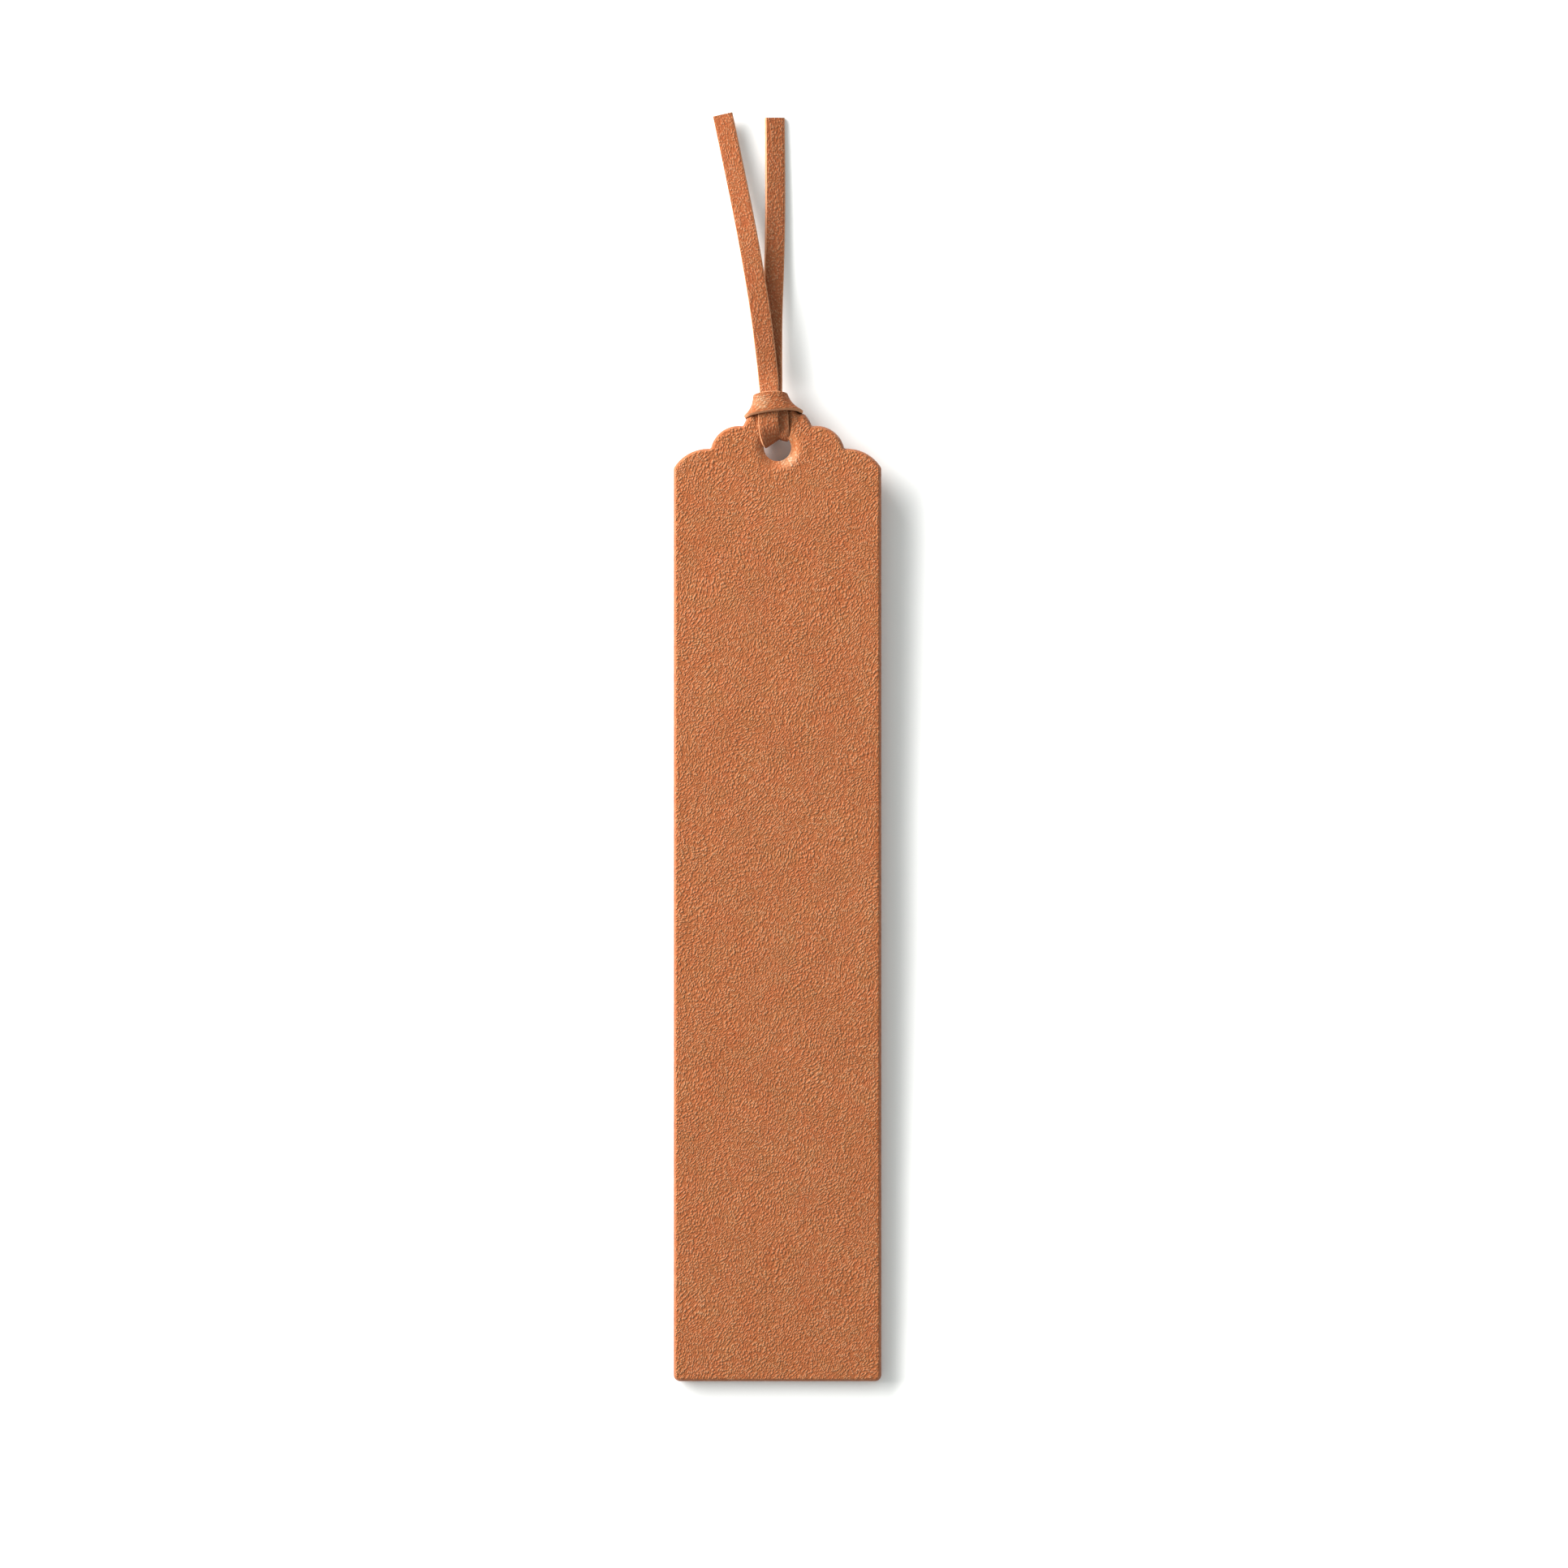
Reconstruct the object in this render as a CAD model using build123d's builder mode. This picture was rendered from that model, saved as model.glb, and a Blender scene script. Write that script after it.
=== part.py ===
"""Leather bookmark: a laminated, scalloped tag with a flat leather lace hitched through its hole.

Frame: the tag lies flat, face up.  +Y runs towards the lace, +Z out of the front face.
The origin is the middle of the footprint of tag and hitch, on the surface that the part lies on.
All lengths are in millimetres.
"""

from build123d import *
import math
import os

os.makedirs("parts", exist_ok=True)

# ---------------------------------------------------------------- driving dimensions
# tag outline, measured from the tag's foot and its centre line
tag_w = 32.0  # width across the straight sides
low_cx, low_cy, low_r = 10.70, 137.56, 6.19  # lower scallop
mid_cx, mid_cy, mid_r = 6.00, 142.90, 4.36  # middle scallop
top_cy, top_r = 145.30, 5.63  # top lobe
waist_y, waist_x = 149.10, 3.20  # the top lobe is drawn in where the lace grips it
tag_top = 150.75
foot_r, shoulder_r, cusp_r, waist_r = 1.0, 0.8, 0.35, 0.50
hole_y, hole_r = 143.94, 2.125

# laminate, from the back: leather, film, board, film, leather
leather_t, film_t, board_t = 0.60, 0.05, 0.30
coat_t = 0.20  # painted edge around the laminate
coat_set_back = 0.25  # the paint stops this far below each face
edge_round, hole_round = 0.30, 0.50
skive = 0.10  # the head of the back leather is pared under the lace
skive_y = 138.0

# lace
lace_w, lace_t = 3.10, 0.60
gap = 0.10  # between the two runs of lace
fit = 0.05  # between lace and tag

# hitch
collar_bottom, collar_top = 149.20, 152.60
leg_end = 152.90  # the two legs leave the hitch here
lift_y = 152.95  # the tails bend up and down across this line
sway_y = 157.80  # and sideways about these two points
left_root_x, left_sway_x = -1.31, -1.75
right_root_x, right_sway_x = -0.78, -0.81
droop = 25.0  # how far the tails bend down, degrees

# free tails: plan of each centre line from its sway point to its cut end
left_route = [
    (left_sway_x, 157.80),
    (-2.72, 165.60),
    (-4.52, 176.00),
    (-6.44, 185.60),
    (-8.44, 195.10),
]
right_route = [
    (right_sway_x, 157.80),
    (-0.74, 164.60),
    (-0.38, 174.60),
    (-0.30, 185.20),
    (-0.41, 194.70),
]
left_tip_z, right_tip_z = 0.90, 0.05  # undersides of the cut ends

# ---------------------------------------------------------------- derived levels
y0 = leg_end / 2.0  # foot of the tag to the origin
left_back_z = 0.0
right_back_z = left_back_z + lace_t + fit
tag_back = right_back_z + lace_t + fit
back_film_z = tag_back + leather_t
board_z = back_film_z + film_t
front_film_z = board_z + board_t
front_z = front_film_z + film_t
tag_front = front_z + leather_t
right_front_z = tag_front + fit
left_front_z = right_front_z + lace_t + gap
collar_in_z = left_front_z + lace_t + fit
collar_out_z = collar_in_z + lace_t
lift_z = left_front_z + lace_t


def Y(v):
    """Distance from the tag's foot to the part's own Y."""
    return v - y0


def meet(c1, r1, c2, r2, upper):
    """Where two circles cross: the upper or lower of the two points."""
    dx, dy = c2[0] - c1[0], c2[1] - c1[1]
    d = math.hypot(dx, dy)
    a = (r1 * r1 - r2 * r2 + d * d) / (2 * d)
    h = math.sqrt(r1 * r1 - a * a)
    m = (c1[0] + a * dx / d, c1[1] + a * dy / d)
    p = (m[0] - h * dy / d, m[1] + h * dx / d)
    q = (m[0] + h * dy / d, m[1] - h * dx / d)
    return max(p, q, key=lambda t: t[1]) if upper else min(p, q, key=lambda t: t[1])


def on(c, r, a, b):
    """A point of the circle midway between two of its points, on the short arc."""
    ta = math.atan2(a[1] - c[1], a[0] - c[0])
    tb = math.atan2(b[1] - c[1], b[0] - c[0])
    t = (ta + tb) / 2
    return (c[0] + r * math.cos(t), c[1] + r * math.sin(t))


# ---------------------------------------------------------------- tag outline
half = tag_w / 2
c_low, c_mid, c_top = (low_cx, low_cy), (mid_cx, mid_cy), (0.0, top_cy)
cap_r = (waist_x**2 + (tag_top - waist_y) ** 2) / (2 * (tag_top - waist_y))
c_cap = (0.0, tag_top - cap_r)


def tag_outline(inset):
    """The tag's outline, or the same outline drawn in evenly: every arc keeps its centre."""
    side, foot, level = half - inset, inset, waist_y - inset
    r_low, r_mid, r_top, r_cap = (r - inset for r in (low_r, mid_r, top_r, cap_r))
    shoulder = (side, low_cy + math.sqrt(r_low**2 - (side - low_cx) ** 2))
    cusp_1 = meet(c_low, r_low, c_mid, r_mid, True)
    cusp_2 = meet(c_mid, r_mid, c_top, r_top, True)
    brow = (math.sqrt(r_top**2 - (level - top_cy) ** 2), level)
    waist = (math.sqrt(r_cap**2 - (level - c_cap[1]) ** 2), level)
    crown = (0.0, tag_top - inset)

    def P(p, s):
        return (s * p[0], Y(p[1]))

    with BuildSketch() as sketch:
        with BuildLine():
            Line((-side, Y(foot)), (side, Y(foot)))
            for s in (1, -1):
                Line((s * side, Y(foot)), P(shoulder, s))
                ThreePointArc(P(shoulder, s), P(on(c_low, r_low, shoulder, cusp_1), s), P(cusp_1, s))
                ThreePointArc(P(cusp_1, s), P(on(c_mid, r_mid, cusp_1, cusp_2), s), P(cusp_2, s))
                ThreePointArc(P(cusp_2, s), P(on(c_top, r_top, cusp_2, brow), s), P(brow, s))
                Line(P(brow, s), P(waist, s))
            ThreePointArc(P(waist, 1), P(crown, 1), P(waist, -1))
        make_face()
        for pt, rad in (
            ((side, foot), foot_r - inset),
            (shoulder, shoulder_r - inset),
            (cusp_1, cusp_r + inset),
            (cusp_2, cusp_r + inset),
            (brow, waist_r - inset),
            (waist, waist_r + inset),
        ):
            fillet(
                sketch.vertices().filter_by(
                    lambda v: abs(abs(v.X) - pt[0]) < 1e-3 and abs(v.Y - Y(pt[1])) < 1e-3
                ),
                radius=rad,
            )
    return sketch.sketch


outline = tag_outline(0.0)
inner_outline = tag_outline(coat_t)

# every layer of the laminate is cut together, inside the painted edge
with BuildSketch() as layer:
    add(inner_outline)
    with Locations((0, Y(hole_y))):
        Circle(hole_r, mode=Mode.SUBTRACT)

# ---------------------------------------------------------------- laminate
with BuildPart() as front_panel:
    with BuildSketch(Plane.XY.offset(front_z)):
        add(layer.sketch)
    extrude(amount=leather_t)
    face = front_panel.faces().sort_by(Axis.Z)[-1]
    fillet(face.outer_wire().edges(), radius=edge_round)
    fillet(
        front_panel.edges()
        .filter_by(GeomType.CIRCLE)
        .filter_by(lambda e: abs(e.radius - hole_r) < 1e-3 and abs(e.center().Z - tag_front) < 1e-3),
        radius=hole_round,
    )
front_panel.part.label = "front_panel"

with BuildPart() as front_film:
    with BuildSketch(Plane.XY.offset(front_film_z)):
        add(layer.sketch)
    extrude(amount=film_t)
front_film.part.label = "front_film"

with BuildPart() as stiffener:
    with BuildSketch(Plane.XY.offset(board_z)):
        add(layer.sketch)
    extrude(amount=board_t)
stiffener.part.label = "stiffener"

with BuildPart() as back_film:
    with BuildSketch(Plane.XY.offset(back_film_z)):
        add(layer.sketch)
    extrude(amount=film_t)
back_film.part.label = "back_film"

with BuildPart() as back_panel:
    with BuildSketch(Plane.XY.offset(tag_back)):
        add(layer.sketch)
    extrude(amount=leather_t)
    fillet(back_panel.faces().sort_by(Axis.Z)[0].outer_wire().edges(), radius=edge_round)
    fillet(
        back_panel.edges()
        .filter_by(GeomType.CIRCLE)
        .filter_by(lambda e: abs(e.radius - hole_r) < 1e-3 and abs(e.center().Z - tag_back) < 1e-3),
        radius=edge_round,
    )
    # pared head, so that the lace lies a little lower behind the tag
    with BuildSketch(Plane.XY.offset(tag_back)):
        with Locations((0, Y(skive_y) + 10)):
            Rectangle(tag_w + 4, 20)
    extrude(amount=skive, mode=Mode.SUBTRACT)
back_panel.part.label = "back_panel"

with BuildPart() as edge_coat:
    with BuildSketch(Plane.XY.offset(tag_back + coat_set_back)):
        add(outline)
        add(inner_outline, mode=Mode.SUBTRACT)
    extrude(amount=tag_front - tag_back - 2 * coat_set_back)
    for level in (0, -1):
        fillet(
            edge_coat.faces().filter_by(Axis.Z).sort_by(Axis.Z)[level].outer_wire().edges(),
            radius=coat_t * 0.7,
        )
edge_coat.part.label = "edge_coat"


# ---------------------------------------------------------------- hitch: legs
def leg(name, y_low, z_low, z_high, front_plan, back_plan):
    """One leg of the lace: down the front, through the hole and up the back."""
    halves = []
    for plan, keep_front in ((front_plan, True), (back_plan, False)):
        with BuildPart() as half_leg:
            with BuildSketch(Plane.YZ):
                with BuildLine():
                    Polyline(
                        (Y(y_low), z_low),
                        (Y(leg_end), z_low),
                        (Y(leg_end), z_high),
                        (Y(y_low), z_high),
                        close=True,
                    )
                make_face()
                with BuildLine():
                    Polyline(
                        (Y(y_low) + lace_t, z_low + lace_t),
                        (Y(leg_end) + 1, z_low + lace_t),
                        (Y(leg_end) + 1, z_high - lace_t),
                        (Y(y_low) + lace_t, z_high - lace_t),
                        close=True,
                    )
                make_face(mode=Mode.SUBTRACT)
            extrude(amount=8, both=True)
            bend = half_leg.edges().filter_by(Axis.X)
            fillet(bend.filter_by(lambda e: abs(e.center().Y - Y(y_low)) < 1e-3), radius=lace_t + 0.1)
            bend = half_leg.edges().filter_by(Axis.X)
            fillet(bend.filter_by(lambda e: abs(e.center().Y - Y(y_low) - lace_t) < 1e-3), radius=0.12)
            lo, hi = (tag_back, 9.0) if keep_front else (-1.0, tag_back)
            with BuildSketch(Plane.XY.offset(lo)):
                with BuildLine():
                    Polyline(*[(x, Y(y)) for x, y in plan], close=True)
                make_face()
            extrude(amount=hi - lo, mode=Mode.INTERSECT)
        halves.append(half_leg.part)
    with BuildPart() as whole:
        add(halves[0])
        add(halves[1])
    whole.part.label = name
    return whole


in_hole = hole_y + 0.10  # lower face of the outer leg inside the hole
lace_leg_left = leg(
    "lace_leg_left",
    in_hole,
    left_back_z,
    left_front_z + lace_t,
    [
        (-1.95, in_hole - 1),
        (1.15, in_hole - 1),
        (1.15, in_hole + 0.9),
        (0.35, 146.2),
        (0.06, 149.0),
        (left_root_x + lace_w / 2, leg_end),
        (left_root_x - lace_w / 2, leg_end),
        (-3.05, 149.0),
        (-2.75, 146.2),
        (-1.95, in_hole + 0.9),
    ],
    [
        (-1.95, in_hole - 1),
        (1.15, in_hole - 1),
        (1.15, 144.79),
        (0.906, 145.175),
        (-3.80, 152.52),
        (-5.10, 149.20),
        (-5.00, 148.65),
        (-1.95, 143.88),
    ],
)
right_in_hole = in_hole + lace_t + gap
lace_leg_right = leg(
    "lace_leg_right",
    right_in_hole,
    right_back_z,
    right_front_z + lace_t,
    [
        (-1.55, right_in_hole - 1),
        (1.55, right_in_hole - 1),
        (1.60, 149.0),
        (right_root_x + lace_w / 2, leg_end),
        (right_root_x - lace_w / 2, leg_end),
        (-1.50, 149.0),
    ],
    [
        (-1.55, right_in_hole - 1),
        (1.55, right_in_hole - 1),
        (3.84, 149.48),
        (1.74, 152.28),
        (-1.40, 145.71),
    ],
)

# ---------------------------------------------------------------- hitch: collar
# the bight of the lace, folded round both sides of the lobe and across the legs
left_foot = left_back_z + lace_t
right_foot = right_back_z + lace_t
collar_low = [
    (-5.10, left_foot),
    (-5.10, 3.20),
    (-3.45, collar_out_z),
    (1.95, collar_out_z),
    (4.05, 3.20),
    (4.05, right_foot),
    (3.45, right_foot),
    (3.45, 2.98),
    (1.75, collar_in_z),
    (-3.20, collar_in_z),
    (-4.50, 2.98),
    (-4.50, left_foot),
]
collar_high = [
    (-3.75, left_foot),
    (-3.75, 4.00),
    (-3.25, collar_out_z),
    (0.95, collar_out_z),
    (1.50, 4.00),
    (1.50, right_foot),
    (0.90, right_foot),
    (0.90, 3.90),
    (0.65, collar_in_z),
    (-2.98, collar_in_z),
    (-3.10, 4.05),
    (-3.15, left_foot),
]
with BuildPart() as lace_collar:
    for section, level in ((collar_low, collar_bottom), (collar_high, collar_top)):
        with BuildSketch(Plane(origin=(0, Y(level), 0), x_dir=(1, 0, 0), z_dir=(0, -1, 0))):
            with BuildLine():
                Polyline(*section, close=True)
            make_face()
    loft(ruled=True)
lace_collar.part.label = "lace_collar"


# ---------------------------------------------------------------- lace: necks
def neck(name, root_x, sway_x, z):
    """The short stretch from the hitch to where the tail starts to sway."""
    dx, dy = sway_x - root_x, sway_y - lift_y
    d = math.hypot(dx, dy)
    nx, ny = dy / d * lace_w / 2, -dx / d * lace_w / 2
    with BuildPart() as part:
        with BuildSketch(Plane.XY.offset(z)):
            with BuildLine():
                Polyline(
                    (root_x - lace_w / 2, Y(lift_y)),
                    (root_x + lace_w / 2, Y(lift_y)),
                    (sway_x + nx, Y(sway_y + ny)),
                    (sway_x - nx, Y(sway_y - ny)),
                    close=True,
                )
            make_face()
            with Locations((sway_x, Y(sway_y))):
                Circle(lace_w / 2 + fit, mode=Mode.SUBTRACT)
        extrude(amount=lace_t)
        # relief under the bend
        with BuildSketch(Plane.YZ):
            with BuildLine():
                Polyline(
                    (Y(lift_y) - 1, lift_z),
                    (Y(lift_y), lift_z),
                    (Y(lift_y) + 3 * math.tan(math.radians(droop + 1)), lift_z - 3),
                    (Y(lift_y) - 1, lift_z - 3),
                    close=True,
                )
            make_face()
        extrude(amount=8, both=True, mode=Mode.SUBTRACT)
    part.part.label = name
    return part


lace_neck_left = neck("lace_neck_left", left_root_x, left_sway_x, left_front_z)
lace_neck_right = neck("lace_neck_right", right_root_x, right_sway_x, right_front_z)


# ---------------------------------------------------------------- lace: free tails
def radii(route):
    """A radius for each corner: 0.45 of its shorter run over the tangent of half its turn."""
    out = []
    for a, b, c in zip(route, route[1:], route[2:]):
        u, v = Vector(b[0] - a[0], b[1] - a[1]), Vector(c[0] - b[0], c[1] - b[1])
        turn = math.radians(u.get_angle(v))
        out.append(0.45 * min(u.length, v.length) / math.tan(turn / 2))
    return out


def tail(name, route, z_root, z_tip):
    """A flat tail: its plan follows the route, its underside runs down from the hitch to the tip."""
    tip_y = route[-1][1]
    flat_y = sway_y + 1.9
    with BuildPart() as part:
        with BuildSketch(Plane.XY):
            with BuildLine() as line:
                FilletPolyline(*[(x, Y(y)) for x, y in route], radius=radii(route))
            trace(line_width=lace_w)
            with Locations((route[0][0], Y(route[0][1]))):
                Circle(lace_w / 2)
        extrude(amount=8)
        with BuildSketch(Plane.YZ):
            with BuildLine():
                Polyline(
                    (Y(sway_y) - 3, z_root),
                    (Y(flat_y), z_root),
                    (Y(tip_y), z_tip),
                    (Y(tip_y) + 3, z_tip - 3 * (z_root - z_tip) / (tip_y - flat_y)),
                    (Y(tip_y) + 3, z_tip - 3 * (z_root - z_tip) / (tip_y - flat_y) + lace_t),
                    (Y(tip_y), z_tip + lace_t),
                    (Y(flat_y), z_root + lace_t),
                    (Y(sway_y) - 3, z_root + lace_t),
                    close=True,
                )
            make_face()
        extrude(amount=16, both=True, mode=Mode.INTERSECT)
    part.part.label = name
    length = line.wires()[0].length
    section = lace_w * lace_t
    cap = math.pi * (lace_w / 2) ** 2 / 2 * lace_t
    print(
        name,
        "radii",
        [round(r, 1) for r in radii(route)],
        "length",
        round(length, 2),
        "volume",
        round(part.part.volume, 2),
        "section x length + round end",
        round(section * length + cap, 2),
    )
    return part


lace_tail_left = tail("lace_tail_left", left_route, left_front_z, left_tip_z)
lace_tail_right = tail("lace_tail_right", right_route, right_front_z, right_tip_z)

# ---------------------------------------------------------------- written pieces
for piece in (
    front_panel,
    front_film,
    stiffener,
    back_film,
    back_panel,
    edge_coat,
    lace_collar,
    lace_leg_left,
    lace_leg_right,
    lace_neck_left,
    lace_neck_right,
    lace_tail_left,
    lace_tail_right,
):
    export_step(piece.part, f"parts/{piece.part.label}.step")
    box = piece.part.bounding_box()
    print(piece.part.label, "valid", piece.part.is_valid, "vol", round(piece.part.volume, 2), box.min, box.max)
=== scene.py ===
"""Looks of the leather bookmark: grained tag, painted edge, hitched lace, white sweep and one soft key light."""

import math

import bpy
import numpy as np
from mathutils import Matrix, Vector
from mathutils.geometry import delaunay_2d_cdt


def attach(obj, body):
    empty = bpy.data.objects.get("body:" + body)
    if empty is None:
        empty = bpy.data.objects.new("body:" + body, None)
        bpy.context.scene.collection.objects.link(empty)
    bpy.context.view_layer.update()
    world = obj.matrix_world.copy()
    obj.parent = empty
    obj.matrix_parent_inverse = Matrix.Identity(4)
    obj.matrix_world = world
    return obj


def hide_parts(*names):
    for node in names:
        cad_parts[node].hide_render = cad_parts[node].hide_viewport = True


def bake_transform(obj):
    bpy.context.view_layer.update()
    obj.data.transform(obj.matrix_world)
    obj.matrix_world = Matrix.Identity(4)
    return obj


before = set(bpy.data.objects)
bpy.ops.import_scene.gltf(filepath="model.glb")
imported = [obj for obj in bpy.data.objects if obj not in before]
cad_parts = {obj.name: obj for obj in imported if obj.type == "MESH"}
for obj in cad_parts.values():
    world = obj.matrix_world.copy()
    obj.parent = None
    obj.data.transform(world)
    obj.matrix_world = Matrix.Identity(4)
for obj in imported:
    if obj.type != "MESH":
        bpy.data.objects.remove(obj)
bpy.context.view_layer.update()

MM = 0.001
Y0 = 76.45  # foot of the tag to the origin, mm

# ------------------------------------------------------------------ sizes shared with the model, mm
TAG_W = 32.0
LOW, LOW_R = (10.70, 137.56), 6.19
MID, MID_R = (6.00, 142.90), 4.36
TOP, TOP_R = (0.0, 145.30), 5.63
WAIST_X, WAIST_Y, CROWN = 3.20, 149.10, 150.75
FOOT_F, SHOULDER_F, CUSP_F, WAIST_F = 1.0, 0.8, 0.35, 0.50
HOLE = (0.0, 143.94)
HOLE_R = 2.125
COAT = 0.20
BACK_Z, FRONT_Z = 1.30, 2.90
LEATHER = 0.60
LACE_W, LACE_T = 3.10, 0.50

rng = np.random.default_rng(11)


# ------------------------------------------------------------------ camera
# straight above; the picture is 1932 pixels square at 8 pixels to the millimetre
cam_data = bpy.data.cameras.new("camera")
cam = bpy.data.objects.new("camera", cam_data)
bpy.context.scene.collection.objects.link(cam)
DIST = 0.95
cam.location = (1.0 * MM, 15.6125 * MM, DIST)
cam.rotation_euler = (0.0, 0.0, 0.0)
cam_data.sensor_fit = "HORIZONTAL"
cam_data.sensor_width = 36.0
cam_data.lens = 36.0 * (DIST - FRONT_Z * MM) / 0.2415
cam_data.clip_start, cam_data.clip_end = 0.05, 10.0
cam_data.dof.use_dof = False
bpy.context.scene.camera = cam


# ------------------------------------------------------------------ small helpers
def link(name, mesh):
    o = bpy.data.objects.new(name, mesh)
    bpy.context.scene.collection.objects.link(o)
    return o


def smoothstep(a, b, x):
    t = np.clip((np.asarray(x, float) - a) / (b - a), 0.0, 1.0)
    return t * t * (3 - 2 * t)


class Waves:
    """A fixed sum of plane waves: a smooth, repeatable undulation of the leather."""

    def __init__(self, seed, count, wave_lo, wave_hi):
        g = np.random.default_rng(seed)
        lam = g.uniform(wave_lo, wave_hi, count)
        ang = g.uniform(0, 2 * math.pi, count)
        self.k = 2 * math.pi / lam
        self.kx, self.ky = self.k * np.cos(ang), self.k * np.sin(ang)
        self.ph = g.uniform(0, 2 * math.pi, count)
        self.a = lam / lam.max()
        self.a /= math.sqrt((self.a**2).sum() / 2)

    def __call__(self, x, y):
        x, y = np.asarray(x, float), np.asarray(y, float)
        out = np.zeros_like(x)
        for a, kx, ky, p in zip(self.a, self.kx, self.ky, self.ph):
            out += a * np.sin(kx * x + ky * y + p)
        return out


# ------------------------------------------------------------------ tag outline
def meet(c1, r1, c2, r2):
    """The upper crossing of two circles."""
    dx, dy = c2[0] - c1[0], c2[1] - c1[1]
    d = math.hypot(dx, dy)
    a = (r1 * r1 - r2 * r2 + d * d) / (2 * d)
    h = math.sqrt(r1 * r1 - a * a)
    mx, my = c1[0] + a * dx / d, c1[1] + a * dy / d
    p, q = (mx - h * dy / d, my + h * dx / d), (mx + h * dy / d, my - h * dx / d)
    return p if p[1] > q[1] else q


def angle(c, p):
    return math.atan2(p[1] - c[1], p[0] - c[0])


def right_half():
    """Points and outward normals from the middle of the foot, up the right side, to the crown."""
    half = TAG_W / 2
    cap_r = (WAIST_X**2 + (CROWN - WAIST_Y) ** 2) / (2 * (CROWN - WAIST_Y))
    cap = (0.0, CROWN - cap_r)
    segs = []

    def line(a, b, n, step):
        count = max(1, int(math.ceil(math.dist(a, b) / step)))
        for i in range(count):
            t = i / count
            segs.append((a[0] + (b[0] - a[0]) * t, a[1] + (b[1] - a[1]) * t, n[0], n[1]))

    def arc(c, r, a0, a1, step, out=1.0):
        count = max(2, int(math.ceil(abs(a1 - a0) * r / step)))
        for i in range(count):
            t = a0 + (a1 - a0) * i / count
            segs.append((c[0] + r * math.cos(t), c[1] + r * math.sin(t), out * math.cos(t), out * math.sin(t)))

    # foot corner
    cf = (half - FOOT_F, FOOT_F)
    line((0.0, 0.0), (cf[0], 0.0), (0, -1), 0.5)
    arc(cf, FOOT_F, -math.pi / 2, 0.0, 0.10)
    # side, shoulder
    cs = (half - SHOULDER_F, LOW[1] + math.sqrt((LOW_R - SHOULDER_F) ** 2 - (half - SHOULDER_F - LOW[0]) ** 2))
    line((half, FOOT_F), (half, cs[1]), (1, 0), 0.5)
    a_sh = angle(LOW, cs)
    arc(cs, SHOULDER_F, 0.0, a_sh, 0.08)
    # lower scallop, first cusp
    c1 = meet(LOW, LOW_R + CUSP_F, MID, MID_R + CUSP_F)
    arc(LOW, LOW_R, a_sh, angle(LOW, c1), 0.18)
    a0, a1 = angle(c1, LOW), angle(c1, MID)
    if a1 > a0:
        a1 -= 2 * math.pi
    arc(c1, CUSP_F, a0, a1, 0.06, -1.0)
    # middle scallop, second cusp
    c2 = meet(MID, MID_R + CUSP_F, TOP, TOP_R + CUSP_F)
    arc(MID, MID_R, angle(MID, c1), angle(MID, c2), 0.18)
    a0, a1 = angle(c2, MID), angle(c2, TOP)
    if a1 > a0:
        a1 -= 2 * math.pi
    arc(c2, CUSP_F, a0, a1, 0.06, -1.0)
    # top lobe, brow
    cb = (math.sqrt((TOP_R - WAIST_F) ** 2 - (WAIST_Y - WAIST_F - TOP[1]) ** 2), WAIST_Y - WAIST_F)
    arc(TOP, TOP_R, angle(TOP, c2), angle(TOP, cb), 0.15)
    arc(cb, WAIST_F, angle(TOP, cb), math.pi / 2, 0.08)
    # waist, crown
    cw = (math.sqrt((cap_r + WAIST_F) ** 2 - (WAIST_Y + WAIST_F - cap[1]) ** 2), WAIST_Y + WAIST_F)
    line((cb[0], WAIST_Y), (cw[0], WAIST_Y), (0, 1), 0.15)
    a1 = angle(cw, cap)
    if a1 > -math.pi / 2:
        a1 -= 2 * math.pi
    arc(cw, WAIST_F, -math.pi / 2, a1, 0.08, -1.0)
    arc(cap, cap_r, angle(cap, cw), math.pi / 2, 0.18)
    return segs


def outline():
    r = right_half()
    crown = [(0.0, CROWN, 0.0, 1.0)]
    left = [(-x, y, -nx, ny) for x, y, nx, ny in reversed(r[1:])]
    pts = np.array(r + crown + left)
    # how far a ring may step in at each point before a tight convex corner would fold over
    brow = (math.sqrt((TOP_R - WAIST_F) ** 2 - (WAIST_Y - WAIST_F - TOP[1]) ** 2), WAIST_Y - WAIST_F)
    shoulder = (TAG_W / 2 - SHOULDER_F, LOW[1] + math.sqrt((LOW_R - SHOULDER_F) ** 2 - (TAG_W / 2 - SHOULDER_F - LOW[0]) ** 2))
    ax = np.abs(pts[:, 0])
    d_brow = np.hypot(ax - brow[0], pts[:, 1] - brow[1])
    d_sh = np.hypot(ax - shoulder[0], pts[:, 1] - shoulder[1])
    limit = np.minimum(0.44 + 0.5 * (d_brow - WAIST_F), 0.72 + 0.5 * (d_sh - SHOULDER_F))
    pts[:, 1] -= Y0
    return pts, limit


OUT, INSET_LIMIT = outline()


def ring_xy(d):
    """The outline stepped in by d."""
    return OUT[:, :2] - OUT[:, 2:] * np.minimum(d, INSET_LIMIT)[:, None]


H = np.array([HOLE[0], HOLE[1] - Y0])

slow = Waves(5, 14, 24.0, 70.0)
mid_wave = Waves(8, 26, 5.0, 14.0)
fine_wave = Waves(21, 60, 1.6, 4.0)


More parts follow.
